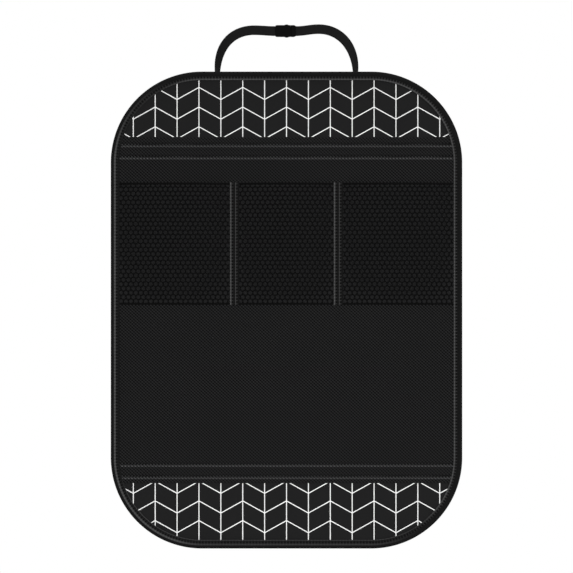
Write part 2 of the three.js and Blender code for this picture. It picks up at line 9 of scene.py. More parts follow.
import bmesh
import bpy
import numpy as np
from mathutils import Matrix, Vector


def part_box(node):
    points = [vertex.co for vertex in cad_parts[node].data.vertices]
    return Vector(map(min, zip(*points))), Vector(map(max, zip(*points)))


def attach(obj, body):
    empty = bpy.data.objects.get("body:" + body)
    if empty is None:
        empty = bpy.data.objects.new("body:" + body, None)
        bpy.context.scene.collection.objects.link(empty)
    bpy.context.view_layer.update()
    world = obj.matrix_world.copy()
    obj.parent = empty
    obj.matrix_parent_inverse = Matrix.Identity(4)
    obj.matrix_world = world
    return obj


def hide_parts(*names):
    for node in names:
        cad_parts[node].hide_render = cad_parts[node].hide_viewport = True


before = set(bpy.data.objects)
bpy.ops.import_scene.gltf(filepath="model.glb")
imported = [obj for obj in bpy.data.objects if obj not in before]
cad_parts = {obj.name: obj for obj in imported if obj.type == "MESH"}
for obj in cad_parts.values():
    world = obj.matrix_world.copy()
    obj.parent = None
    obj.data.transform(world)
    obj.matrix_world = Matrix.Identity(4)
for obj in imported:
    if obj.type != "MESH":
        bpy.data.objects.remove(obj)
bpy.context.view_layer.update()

MM = 0.001


def front_of(node):
    """Depth of a solid's front face."""
    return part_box(node)[0].y / MM


# Sizes of the mat, from its solids
binding_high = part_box("edge_binding")[1]
HALF_WIDTH = binding_high.x / MM
HALF_HEIGHT = binding_high.z / MM
CORNER_RADIUS = 118.0
BINDING_WIDTH = 10.0
CLOTH_INSET = 4.0
PANEL_INSET = 8.0
PRINT_FRONT = front_of("print_panel")
PANEL_FRONT = front_of("centre_panel")
PANEL_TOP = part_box("centre_panel")[1].z / MM
TAPE_THICKNESS = 0.75
MESH_FRONT = front_of("divider_tape_left") + TAPE_THICKNESS
MESH_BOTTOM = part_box("mesh_strip")[0].z / MM
MESH_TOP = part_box("mesh_strip")[1].z / MM
POCKET_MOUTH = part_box("pocket_mouth_elastic")[1].z / MM
TAPE_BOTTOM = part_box("divider_tape_left")[0].z / MM
TAPE_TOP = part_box("divider_tape_left")[1].z / MM
TAPE_OFFSET = 67.4
TAPE_WIDTH = 12.0
TAPE_STITCH_OFFSET = 2.9

# Sewing
STITCH_PITCH = 4.1
STITCH_INSET = 7.2
PANEL_ROWS = (215.5, 199.7)
SAMPLES_PER_STITCH = 3
# Painted highlight: how far below each panel row its light line lies
HIGHLIGHT_BELOW = 3.0
CREST_OFFSET = 2.9
STITCH = {"length": 2.9, "radius": 0.6, "slant": 0.35, "rise": 0.35}
REAR_STITCH = {"length": 2.9, "radius": 0.3, "slant": 0.0, "rise": 0.15}
BINDING_REAR_STITCH = {**REAR_STITCH, "rise": 0.2}
TACK_STITCH = {"radius": 0.26, "slant": 0.12, "rise": 0.3}
TACK_PITCH = 0.55
STITCH_RINGS, STITCH_SIDES = 6, 6
THREAD_SINK = 0.35

# Twill: the main ribs run from upper left to lower right, at these distances across and up
TWILL_ACROSS = 4.38
TWILL_UP = 4.06
TWILL_SLANT = TWILL_UP / TWILL_ACROSS
TWILL_SAMPLES = 3
TWILL_HEIGHT = 0.2
# Tone swing across the ribs and their crossings: the twill's pattern, partly painted shade in the
# valleys
TWILL_RIBS, TWILL_CROSSINGS = 0.64, 0.36
# Strength of the painted highlight along the panel's sewing
TWILL_HIGHLIGHT = 2.6

# Twill behind the mesh, where it is plainer: height of its ribs, contrast, and painted light that
# lifts its tone against the shade of the mesh
COVERED_HEIGHT = 0.3
COVERED_CONTRAST = 0.15
COVERED_PAINTED_LIGHT = 1.3

# Print
COLUMN_PITCH = 28.44
STROKE_PITCH = 25.586
STROKE_RISE = 15.8
FIRST_STROKES = 5.27
INK_WIDTH = 1.2
INK_HEIGHT = 0.08
UPRIGHT_INK = 0.12

# Mesh pockets
MESH_PITCH = 6.458
MESH_RISE = 5.588
FIRST_HOLE = (-211.7, 162.2)
MESH_HOLE = 5.3
MESH_CLOTH = 0.75
POCKET_BULGE = 14.0
ELASTIC_HEIGHT = 2.0
TAPE_LAP = 0.6

# Fine yarns: distances between them
BACKING_WEAVE = 1.1
PRINT_WEAVE = 0.8
TAPE_RIB = 0.9
THREAD_TWIST = 0.45
WEBBING_YARN = 1.3
WEBBING_SLANT = 0.8

# Strap, as in the solids
WEBBING_WIDTH = 11.6
WEBBING_SPREAD = 12.5
WEBBING_THICKNESS = 1.0
STRAP_OFFSET = 89.8
LEG_TWIST = math.radians(56)
ARCH_RISE = {-1: 54.3, 1: 55.7}
ARCH_SHOULDER = 42.0
ARCH_HANDLES = {-1: (0.65, 0.58), 1: (0.62, 0.56)}
TAIL_FOOT = HALF_HEIGHT - 9.7
TAIL_SEWN = 5.0
TAIL_FOLD = 13.0
BUCKLE_RISE = 53.3
BUCKLE_END = {-1: 14.6, 1: 12.4}
BAR_INSET = 2.4
WRAP_RADIUS = 1.55
WEBBING_STEP = 0.35
WEBBING_RIB = 0.05
HERRINGBONE = 4.6

# Web between the plug's prongs: its ends from the socket's end, its half sizes and its corners
ROOT_ENDS = (-2.2, -2.0, 0.9, 1.1)
ROOT_HALF_Y, ROOT_HALF_Z = 1.4, 6.9
ROOT_CORNER = 0.35

# Camera: one pixel of the photograph is 1.3 mm at the mat
PIXEL = 1.3
IMAGE_SIZE = 573
LENS, SENSOR = 200.0, 36.0
VIEW_CENTRE_Z = 30.6

# Floor: below the camera's view, plain round the mat and fading to white
FLOOR_LEVEL = -405.0
FLOOR_RADIUS = 600.0
FLOOR_PLAIN = 200.0
FLOOR_WHITE = FLOOR_RADIUS * 0.97
FLOOR_SIDES = 96

# Lamps: name, direction, distance and size in metres, level, and whether gloss reflects it
LAMPS = (
    ("key", (0.6, -0.7, 0.55), 2.6, 1.0, 0.28, True),
    ("front", (0.0, -1.0, 0.02), 4.2, 0.4, 0.66, False),
    ("above", (0.1, -0.05, 1.0), 2.4, 1.6, 0.55, True),
    ("rear_left", (-0.6, 0.75, 0.45), 3.0, 1.2, 0.5, True),
    ("rear_right", (0.5, 0.9, 0.1), 3.0, 1.2, 0.35, True),
)
WORLD_LEVEL = 0.16


def make_camera():
    camera = bpy.data.objects.new("camera", bpy.data.cameras.new("camera"))
    bpy.context.scene.collection.objects.link(camera)
    camera.data.lens = LENS
    camera.data.sensor_width = SENSOR
    distance = IMAGE_SIZE * PIXEL * LENS / SENSOR
    camera.location = (0, -distance * MM, VIEW_CENTRE_Z * MM)
    camera.rotation_euler = (math.pi / 2, 0, 0)
    bpy.context.scene.camera = camera


# Shader helpers


def math_node(tree, operation, *values):
    node = tree.nodes.new("ShaderNodeMath")
    node.operation = operation
    for socket, value in zip(node.inputs, values):
        if isinstance(value, (int, float)):
            socket.default_value = value
        else:
            tree.links.new(value, socket)
    return node.outputs[0]


def place(tree):
    """X, Y and Z of the shaded point, in millimetres."""
    coordinates = tree.nodes.new("ShaderNodeTexCoord")
    split = tree.nodes.new("ShaderNodeSeparateXYZ")
    tree.links.new(coordinates.outputs["Object"], split.inputs[0])
    return [math_node(tree, "MULTIPLY", axis, 1 / MM) for axis in split.outputs]


def attribute(tree, name):
    node = tree.nodes.new("ShaderNodeAttribute")
    node.attribute_name = name
    return node.outputs["Fac"]


def wave(tree, value, pitch):
    """A sine wave from 0 to 1."""
    angle = math_node(tree, "MULTIPLY", value, 2 * math.pi / pitch)
    return math_node(tree, "MULTIPLY_ADD", math_node(tree, "SINE", angle), 0.5, 0.5)


def needle_gaps(tree, along):
    """Peaks at the needle holes, where the cloth shows between two stitches."""
    angle = math_node(tree, "MULTIPLY", along, 2 * math.pi / STITCH_PITCH)
    level = math_node(tree, "MULTIPLY_ADD", math_node(tree, "COSINE", angle), 0.5, 0.5)
    return math_node(tree, "MULTIPLY", level, level)


def painted_sewing_highlight(tree, along, strength):
    """Painted highlight along the sewing, as a factor on the tone: a steady light line along lit
    crests and short light dashes at the needle holes.
    """
    # The attributes place the painted highlight on the cloth.
    gaps = needle_gaps(tree, along)
    ticks = product(tree, attribute(tree, "tick"), gaps)
    ridge_highlight = product(tree, attribute(tree, "crest"), blend(tree, 0.85, 1.35, gaps))
    return math_node(tree, "MULTIPLY_ADD", math_node(tree, "ADD", ridge_highlight, ticks), strength, 1.0)


def within(tree, value, low, high):
    """1 between two values and 0 outside them, with soft ends."""
    ends = []
    for edge, inward in ((low, 1), (high, -1)):
        node = tree.nodes.new("ShaderNodeMapRange")
        tree.links.new(value, node.inputs["Value"])
        node.inputs["From Min"].default_value = edge
        node.inputs["From Max"].default_value = edge + inward
        ends.append(node.outputs[0])
    return product(tree, *ends)


def noise(tree, size, detail=2.0):
    """Smooth noise from 0 to 1 with features of about that size in millimetres."""
    coordinates = tree.nodes.new("ShaderNodeTexCoord")
    node = tree.nodes.new("ShaderNodeTexNoise")
    node.inputs["Scale"].default_value = 1 / (size * MM)
    node.inputs["Detail"].default_value = detail
    tree.links.new(coordinates.outputs["Object"], node.inputs["Vector"])
    return node.outputs["Fac"]


def blend(tree, low, high, factor):
    node = tree.nodes.new("ShaderNodeMapRange")
    tree.links.new(factor, node.inputs["Value"])
    node.inputs["To Min"].default_value = low
    node.inputs["To Max"].default_value = high
    return node.outputs[0]


def patches(tree, spread, size):
    """Lighter and darker patches: a factor that strays from 1 by the spread."""
    return blend(tree, 1 - spread, 1 + spread, noise(tree, size))


def fuzz(tree, relief, size, amount):
    """The relief with fine fibres on it."""
    return math_node(tree, "MULTIPLY_ADD", noise(tree, size), amount, relief)


def product(tree, *factors):
    total = factors[0]
    for factor in factors[1:]:
        total = math_node(tree, "MULTIPLY", total, factor)
    return total


def background_rays(tree):
    """1 for the rays that see the background as white: from the camera, reflected or let through."""
    path = tree.nodes.new("ShaderNodeLightPath")
    seen = math_node(tree, "MAXIMUM", path.outputs["Is Camera Ray"], path.outputs["Is Glossy Ray"])
    return math_node(tree, "MAXIMUM", seen, path.outputs["Is Transmission Ray"])


def make_material(name, colour, surface, depth, roughness, specular=0.03):
    """Colour times the surface's tone, with its relief as bump of the depth in millimetres."""
    material = bpy.data.materials.new(name)
    material.use_nodes = True
    tree = material.node_tree
    shader = tree.nodes["Principled BSDF"]
    relief, tone = surface(tree)
    scale = tree.nodes.new("ShaderNodeVectorMath")
    scale.operation = "SCALE"
    scale.inputs[0].default_value = colour
    tree.links.new(tone, scale.inputs["Scale"])
    tree.links.new(scale.outputs[0], shader.inputs["Base Color"])
    bump = tree.nodes.new("ShaderNodeBump")
    bump.inputs["Strength"].default_value = 1.0
    bump.inputs["Distance"].default_value = depth * MM
    tree.links.new(relief, bump.inputs["Height"])
    tree.links.new(bump.outputs[0], shader.inputs["Normal"])
    tree.links.new(blend(tree, *roughness, relief), shader.inputs["Roughness"])
    shader.inputs["Specular IOR Level"].default_value = specular
    return material


def plain_weave(tree, pitch):
    x, _, z = place(tree)
    over = product(tree, wave(tree, x, pitch), wave(tree, z, pitch))
    under = product(tree, wave(tree, x, -pitch), wave(tree, z, -pitch))
    return math_node(tree, "ADD", over, under)


# Surfaces: the relief and the tone of each material


def backing_surface(tree):
    weave = plain_weave(tree, BACKING_WEAVE)
    tone = product(tree, blend(tree, 0.6, 1.2, weave), patches(tree, 0.2, 60))
    return fuzz(tree, weave, 0.8, 0.5), tone


def printed_surface(tree):
    weave = plain_weave(tree, PRINT_WEAVE)
    tone = product(tree, blend(tree, 0.85, 1.1, weave), patches(tree, 0.06, 40))
    return fuzz(tree, weave, 0.5, 0.4), tone


def ink_surface(tree):
    weave = plain_weave(tree, PRINT_WEAVE)
    worn = blend(tree, 0.93, 1.0, noise(tree, 3.0, 4.0))
    return weave, product(tree, blend(tree, 0.92, 1.0, weave), worn)


def twill_surface(tree):
    """Ribs of upright yarns that weaker slants cross, plainer behind the mesh and lighter there by
    painted light against the mesh's shade.

    The valleys between the ribs are darker and show the level yarns; the darker valleys are partly
    the twill's pattern and partly painted shade. Painted highlight lies along the panel's sewing.
    """
    x, _, z = place(tree)
    slanted = math_node(tree, "MULTIPLY", x, TWILL_SLANT)
    rib = wave(tree, math_node(tree, "ADD", slanted, z), TWILL_UP)
    crossing = wave(tree, math_node(tree, "SUBTRACT", slanted, z), TWILL_UP)
    upright = wave(tree, x, TWILL_ACROSS / 4)
    level = product(tree, wave(tree, z, TWILL_UP / 4), blend(tree, 0.7, 0.0, rib))
    yarns = math_node(tree, "MAXIMUM", product(tree, upright, blend(tree, 0.35, 1.0, rib)), level)
    covered = within(tree, z, MESH_BOTTOM, MESH_TOP)
    # darker rib valleys: partly the twill's pattern, partly painted shade
    slants = (blend(tree, -TWILL_RIBS, TWILL_RIBS, rib),
              blend(tree, -TWILL_CROSSINGS, TWILL_CROSSINGS, crossing))
    contrast = blend(tree, 1.0, COVERED_CONTRAST, covered)
    tone = product(
        tree,
        math_node(tree, "MULTIPLY_ADD", contrast, math_node(tree, "ADD", *slants), 1.0),
        # painted light: lighter behind the mesh, against the shade the mesh casts
        blend(tree, 1.0, COVERED_PAINTED_LIGHT, covered),
        blend(tree, 0.72, 1.32, yarns),
        patches(tree, 0.07, 70),
        painted_sewing_highlight(tree, x, TWILL_HIGHLIGHT),
    )
    return fuzz(tree, yarns, 0.5, 0.35), tone


def mesh_surface(tree):
    x, _, z = place(tree)
    knit = math_node(tree, "ADD", wave(tree, math_node(tree, "ADD", x, z), 0.9), noise(tree, 0.5))
    return knit, product(tree, blend(tree, 0.7, 1.2, noise(tree, 0.8)), patches(tree, 0.1, 50))


def tape_surface(crest, tree):
    """Ribbed tape, with painted highlight on its crests and by its stitches, as strong as the crest
    value.
    """
    along = attribute(tree, "along")
    ribs = wave(tree, along, TAPE_RIB)
    tone = product(
        tree,
        blend(tree, 0.8, 1.15, ribs),
        patches(tree, 0.1, 25),
        painted_sewing_highlight(tree, along, crest),
    )
    return fuzz(tree, ribs, 0.5, 0.5), tone


def thread_surface(tree):
    x, y, z = place(tree)
    lay = math_node(tree, "ADD", math_node(tree, "ADD", x, z), y)
    twist = wave(tree, lay, THREAD_TWIST)
    return twist, product(tree, blend(tree, 0.5, 1.3, twist), patches(tree, 0.2, 8))


def webbing_surface(tree):
    """Herringbone: the yarns slant one way on each half of the band."""
    along, across = attribute(tree, "along"), attribute(tree, "across")
    slant = math_node(tree, "MULTIPLY", math_node(tree, "ABSOLUTE", across), WEBBING_SLANT)
    yarns = wave(tree, math_node(tree, "ADD", along, slant), WEBBING_YARN)
    tone = product(tree, blend(tree, 0.65, 1.2, yarns), patches(tree, 0.1, 15))
    return fuzz(tree, yarns, 0.5, 0.4), tone


def buckle_surface(tree):
    grain = noise(tree, 0.35, 4.0)
    return grain, product(tree, patches(tree, 0.15, 6), blend(tree, 0.9, 1.1, grain))


def floor_surface(tree):
    tone = blend(tree, 0.97, 1.0, noise(tree, 90))
    return tone, tone


# Materials: name, colour, surface, depth of the relief, roughness from low to high, specular level
FINISHES = {
    "backing": ("backing_cloth", (0.011, 0.011, 0.011), backing_surface, 0.15, (0.95, 0.8)),
    "printed": ("printed_cloth", (0.0130, 0.0130, 0.0132), printed_surface, 0.06, (0.9, 0.7)),
    "ink": ("white_ink", (0.95, 0.95, 0.94), ink_surface, 0.04, (0.7, 0.5)),
    "twill": ("twill_cloth", (0.0112, 0.0112, 0.0114), twill_surface, 0.25, (0.9, 0.7)),
    "mesh": ("pocket_mesh", (0.0034, 0.0034, 0.0035), mesh_surface, 0.08, (0.85, 0.65), 0.02),
    # The number given to tape_surface sets how strong its painted highlight is
    "binding": ("binding_tape", (0.0072,) * 3, partial(tape_surface, 7.5), 0.1, (0.85, 0.65)),
    "tape": ("divider_tape", (0.0062,) * 3, partial(tape_surface, 8.5), 0.1, (0.85, 0.65)),
    "elastic": ("elastic", (0.0030,) * 3, partial(tape_surface, 0.0), 0.1, (0.85, 0.65)),
    "thread": ("thread", (0.0025,) * 3, thread_surface, 0.05, (0.7, 0.5), 0.02),
    "webbing": ("webbing", (0.0100,) * 3, webbing_surface, 0.12, (0.85, 0.6)),
    "buckle": ("buckle_plastic", (0.0027,) * 3, buckle_surface, 0.03, (0.45, 0.35)),
}
FLOOR_FINISH = ("floor", (0.86,) * 3, floor_surface, 0.1, (0.8, 0.9))


def floor_material():
    """Pale, and fading to the background's white towards its rim."""
    material = make_material(*FLOOR_FINISH)
    tree = material.node_tree
    x, y, _ = place(tree)
    squares = [math_node(tree, "MULTIPLY", axis, axis) for axis in (x, y)]
    distance = math_node(tree, "SQRT", math_node(tree, "ADD", *squares))
    reach = tree.nodes.new("ShaderNodeMapRange")
    reach.interpolation_type = "SMOOTHSTEP"
    tree.links.new(distance, reach.inputs["Value"])
    reach.inputs["From Min"].default_value = FLOOR_PLAIN
    reach.inputs["From Max"].default_value = FLOOR_WHITE
    white = tree.nodes.new("ShaderNodeEmission")
    mix = tree.nodes.new("ShaderNodeMixShader")
    share = math_node(tree, "MULTIPLY", reach.outputs[0], background_rays(tree))
    tree.links.new(share, mix.inputs[0])
    tree.links.new(tree.nodes["Principled BSDF"].outputs[0], mix.inputs[1])
    tree.links.new(white.outputs[0], mix.inputs[2])
    tree.links.new(mix.outputs[0], tree.nodes["Material Output"].inputs["Surface"])
    return material


# Mesh helpers


def add_mesh(name, points, faces, material, slot, **corner_values):
    """Makes a smooth mesh. Corner values are one number for each corner of each face."""
    mesh = bpy.data.meshes.new(name)
    mesh.from_pydata((np.asarray(points) * MM).tolist(), [], np.asarray(faces).tolist())
    for key, values in corner_values.items():
        layer = mesh.attributes.new(key, "FLOAT", "CORNER")
        layer.data.foreach_set("value", np.asarray(values, np.float32).ravel())
    mesh.shade_smooth()
    mesh.materials.append(material)
    piece = bpy.data.objects.new(name, mesh)
    bpy.context.scene.collection.objects.link(piece)
    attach(piece, "root")
    return piece


def grid_faces(rows, columns, close_rows=False, close_columns=False):
    """Quads between the points of a grid, facing forwards when rows go up and columns right."""
    index = np.arange(rows * columns).reshape(rows, columns)
    if close_rows:
        index = np.vstack([index, index[:1]])
    if close_columns:
        index = np.hstack([index, index[:, :1]])
    corners = [index[:-1, :-1], index[:-1, 1:], index[1:, 1:], index[1:, :-1]]
    return np.stack(corners, -1).reshape(-1, 4)


def repeat_faces(rows, columns, copies):
    """Quads of a tube of points, for several tubes in a row."""
    one = grid_faces(rows, columns, close_columns=True)
    starts = np.arange(copies) * rows * columns
    return (one[None] + starts[:, None, None]).reshape(-1, 4)


def join_parts(parts):
    """Points and faces of several parts as those of one mesh."""
    starts = np.cumsum([0] + [len(points) for points, _ in parts])
    faces = [faces + start for (_, faces), start in zip(parts, starts)]
    return np.vstack([points for points, _ in parts]), np.vstack(faces)


def unit(vectors):
    return vectors / np.linalg.norm(vectors, axis=-1, keepdims=True)


def drop_flat_faces(piece):
    """Merges points that a clamp brought together and removes the faces that vanish."""
    bm = bmesh.new()
    bm.from_mesh(piece.data)
    bmesh.ops.remove_doubles(bm, verts=bm.verts, dist=0.02 * MM)
    bmesh.ops.dissolve_degenerate(bm, edges=bm.edges, dist=0.005 * MM)
    bm.to_mesh(piece.data)
    bm.free()


def close_ends(piece):
    """Fills a tube's open ends and turns its faces outwards."""
    bm = bmesh.new()
    bm.from_mesh(piece.data)
    bmesh.ops.holes_fill(bm, edges=[edge for edge in bm.edges if edge.is_boundary])
    bmesh.ops.recalc_face_normals(bm, faces=bm.faces)
    bm.to_mesh(piece.data)
    bm.free()


def close_rim(piece):
    """Joins the front and rear layers of a cloth along their open edges."""
    bm = bmesh.new()
    bm.from_mesh(piece.data)
    open_edges = [edge for edge in bm.edges if edge.is_boundary]
    stacks = {}
    for vertex in {vertex for edge in open_edges for vertex in edge.verts}:
        key = (round(vertex.co.x / MM, 1), round(vertex.co.z / MM, 1))
        stacks.setdefault(key, []).append(vertex)
    rear_of = {}
    for stack in stacks.values():
        rear = max(stack, key=lambda vertex: vertex.co.y)
        rear_of.update({vertex: rear for vertex in stack if vertex is not rear})
    for edge in open_edges:
        loop = edge.link_loops[0]
        first, second = loop.vert, loop.link_loop_next.vert
        corners = [second, first, rear_of.get(first), rear_of.get(second)]
        if None not in corners and len(set(corners)) == 4:
            bm.faces.new(corners)
    bm.to_mesh(piece.data)
    bm.free()


def half_width_at(z, inset):
    """Half the mat's width at a height, moved in from the edge."""
    straight = HALF_HEIGHT - CORNER_RADIUS
    over = np.maximum(np.abs(z) - straight, 0)
    radius = CORNER_RADIUS - inset
    return HALF_WIDTH - CORNER_RADIUS + np.sqrt(np.maximum(radius**2 - over**2, 0))


def slow_waves(x, z, length):
    """A gentle unevenness from -1 to 1."""
    a = np.sin(2 * np.pi * (x + 0.35 * z) / length + 0.7)
    b = np.sin(2 * np.pi * (z - 0.25 * x) / (1.31 * length) + 2.1)
    c = np.sin(2 * np.pi * (x - 0.8 * z) / (0.57 * length) + 4.0)
    return (a + b + 0.5 * c) / 2.5


# Cloth layers


def cloth_sheet(name, material, slot, depth, step, facing, node):
    """A cloth that fills the mat's outline. facing is -1 for the front and 1 for the rear."""
    top = HALF_HEIGHT - CLOTH_INSET
    rows = int(2 * top / step) + 1
    columns = int(2 * HALF_WIDTH / step) + 1
    z = np.linspace(-top, top, rows)[:, None]
    x = np.linspace(-1, 1, columns)[None, :] * half_width_at(z, CLOTH_INSET)
    z = np.broadcast_to(z, x.shape)
    points = np.stack([x, depth(x, z), z], -1).reshape(-1, 3)
    faces = grid_faces(rows, columns)
    cloth = add_mesh(name, points, faces if facing < 0 else faces[:, ::-1], material, slot)
    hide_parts(node)
    return cloth


def print_depth(x, z):
    return PRINT_FRONT + 0.1 * slow_waves(x, z, 70)


def backing_depth(x, z):
    """Flat by the binding, a little uneven within, and drawn in along the panel's sewing."""
    beside = half_width_at(z, BINDING_WIDTH) - np.abs(x)
    edge = np.minimum(beside, HALF_HEIGHT - BINDING_WIDTH - np.abs(z))
    free = np.clip(edge / 25, 0, 1)
    drawn = sum(np.exp(-(((np.abs(z) - row) / 2.0) ** 2)) for row in PANEL_ROWS)
    return -0.25 + 0.2 * free * slow_waves(x, z, 90) - 0.2 * np.clip(drawn, 0, 1)


def row_relief(x, off):
    """A row of sewing seen across: a groove with a pit at each needle hole, and a crest each side."""
    pull = 0.5 + 0.5 * np.cos(2 * np.pi * x / STITCH_PITCH)
    groove = (0.45 + 0.35 * pull) * np.exp(-((off / 1.1) ** 2))
    crest = (0.55 - 0.2 * pull) * np.exp(-(((np.abs(off) - CREST_OFFSET) / 1.1) ** 2))
    return crest - groove


def panel_depth(x, z):
    covered = (z > MESH_BOTTOM) & (z < MESH_TOP)
    ribs = TWILL_HEIGHT * (0.5 + 0.5 * np.sin(2 * np.pi * (x * TWILL_SLANT + z) / TWILL_UP))
    ribs *= np.where(covered, COVERED_HEIGHT, 1.0)
    rows = sum(row_relief(x, np.abs(z) - row) for row in PANEL_ROWS)
    hem = np.clip((PANEL_TOP - np.abs(z)) / 0.9, 0, 1) ** 0.5
    body = 0.1 * slow_waves(x, z, 80) + ribs + rows + 0.1
    return PRINT_FRONT - hem * (PRINT_FRONT - PANEL_FRONT + body)


def flat_top(x, middle, half):
    """1 within half of the middle, falling to 0 half a millimetre beyond."""
    return np.clip((half + 0.5 - np.abs(x - middle)) / 0.5, 0, 1)


def panel_highlights(z):
    """Painted highlight: a light line below each row of sewing, where light from above would catch
    the groove's lower wall, and light dashes between its stitches.
    """
    rows = [side * row for row in PANEL_ROWS for side in (1, -1)]
    ridge_highlight = sum(flat_top(z, row - HIGHLIGHT_BELOW, 0.75) for row in rows)
    ticks = 0.6 * sum(flat_top(z, row - 0.7, 0.7) for row in rows)
    return {"crest": ridge_highlight, "tick": ticks}


def panel_levels():
    """Heights of the panel's grid: close together at the sewing and the hems."""
    dense = [np.linspace(row - 4.8, row + 4.8, 17) for row in PANEL_ROWS]
    hem = PANEL_TOP - np.array([0, 0.15, 0.5, 0.9, 2.0])
    upper = np.unique(np.round(np.concatenate([*dense, hem]), 3))
    middle = np.linspace(-upper.min(), upper.min(), 33)[1:-1]
    strip = [edge + step for edge in (MESH_BOTTOM, MESH_TOP) for step in (-0.4, 0.4)]
    return np.unique(np.concatenate([-upper, middle, upper, strip]))


def twill_panel(materials):
    """A grid whose columns run along the twill's ribs."""
    levels = panel_levels()
    step = TWILL_UP / TWILL_SAMPLES
    reach = HALF_WIDTH + PANEL_TOP
    slots = np.arange(-math.ceil(reach / step), math.ceil(reach / step) + 1)
    z = np.repeat(levels[:, None], len(slots), 1)
    limit = half_width_at(z, PANEL_INSET)
    x = np.clip((slots[None, :] * step - z) / TWILL_SLANT, -limit, limit)
    points = np.stack([x, panel_depth(x, z), z], -1).reshape(-1, 3)
    faces = grid_faces(*x.shape)
    corner_x = points[faces][:, :, 0]
    spread = np.abs(corner_x[:, 0] - corner_x[:, 1]) + np.abs(corner_x[:, 3] - corner_x[:, 2])
    faces = faces[spread > 1e-6]
    # painted highlight along the panel's sewing
    painted_highlights = panel_highlights(points[faces][:, :, 2])
    cloth = add_mesh("twill_panel", points, faces, materials["twill"], "twill", **painted_highlights)
    drop_flat_faces(cloth)
    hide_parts("centre_panel")
    return cloth


# Print


def ink_strip(line, width, height):
    """A thin raised line of ink on the cloth, along points in X and Z."""
    ahead = unit(np.gradient(line, axis=0))
    side = np.stack([-ahead[:, 1], ahead[:, 0]], -1)
    offsets = [(-0.5, 0.05), (-0.44, -1.0), (0.44, -1.0), (0.5, 0.05)]
    columns = []
    for share, lift in offsets:
        flat = line + side * width * share
        y = print_depth(flat[:, 0], flat[:, 1]) + lift * height
        columns.append(np.stack([flat[:, 0], y, flat[:, 1]], -1))
    points = np.stack(columns, 1)
    return points.reshape(-1, 3), grid_faces(len(line), len(offsets))


def inside_window(line, inset):
    x, z = line[:, 0], line[:, 1]
    return (np.abs(z) < HALF_HEIGHT - inset) & (np.abs(x) < half_width_at(z, inset))


def field_lines(side):
    """Centre lines of one printed field, with the ink's height: uprights, and zigzags under them."""
    near, far = PANEL_TOP - 1.5, HALF_HEIGHT
    columns = int((HALF_WIDTH - BINDING_WIDTH) / COLUMN_PITCH)
    upright = np.arange(near, far, 1.5)
    lines = []
    for column in range(-columns, columns + 1):
        line = np.stack([np.full(len(upright), column * COLUMN_PITCH), side * upright], -1)
        lines.append((line, UPRIGHT_INK))
    rows = math.ceil((HALF_HEIGHT - PANEL_TOP) / STROKE_PITCH) + 1
    for row in range(-1, rows + 1):
        height = side * (PANEL_TOP + FIRST_STROKES + row * STROKE_PITCH)
        for column in range(-columns - 1, columns + 1):
            share = np.linspace(0, 1, 20)
            rise = STROKE_RISE * (share - 0.5) * (1 if column % 2 else -1)
            line = np.stack([(column + share) * COLUMN_PITCH, height + rise], -1)
            lines.append((line, INK_HEIGHT))
    return lines, near


def print_field(name, side, materials, nodes):
    lines, near = field_lines(side)
    strips = []
    for line, ink in lines:
        keep = inside_window(line, PANEL_INSET) & (side * line[:, 1] > near - 0.1)
        if keep.sum() >= 3:
            strips.append(ink_strip(line[keep], INK_WIDTH, ink))
    piece = add_mesh(name, *join_parts(strips), materials["ink"], "white_ink")
    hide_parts(*nodes)


# Binding

# Where each straight run of the edge starts and each corner's centre lies, as signs of X and Z
RUN_SIGNS = ((0, -1), (1, -1), (1, -1), (1, 1), (1, 1), (-1, 1), (-1, 1), (-1, -1), (-1, -1))


def outline_point(run, done):
    """Point and outward direction some way along a run of the edge. The odd runs are its corners."""
    corner = run % 2 == 1
    angle = (run // 2 - 1) * math.pi / 2 + (done / CORNER_RADIUS if corner else 0)
    outward = np.array([math.cos(angle), math.sin(angle)])
    centre = np.array(RUN_SIGNS[run]) * (HALF_WIDTH - CORNER_RADIUS, HALF_HEIGHT - CORNER_RADIUS)
    if corner:
        return centre + CORNER_RADIUS * outward, outward
    outward = outward.round()
    ahead = np.array([-outward[1], outward[0]])
    return centre + CORNER_RADIUS * outward + done * ahead, outward


def outline_steps(count):
    """Points and outward directions at even steps round the mat's edge, from the bottom's middle."""
    across = 2 * (HALF_WIDTH - CORNER_RADIUS)
    up = 2 * (HALF_HEIGHT - CORNER_RADIUS)
    arc = CORNER_RADIUS * math.pi / 2
    runs = [across / 2, arc, up, arc, across, arc, up, arc, across / 2]
    stops = np.concatenate([[0], np.cumsum(runs)])
    steps = []
    for distance in np.arange(count) * stops[-1] / count:
        run = min(int(np.searchsorted(stops, distance, "right")), len(runs)) - 1
        steps.append(outline_point(run, distance - stops[run]))
    points, outward = zip(*steps)
    return np.array(points), np.array(outward)


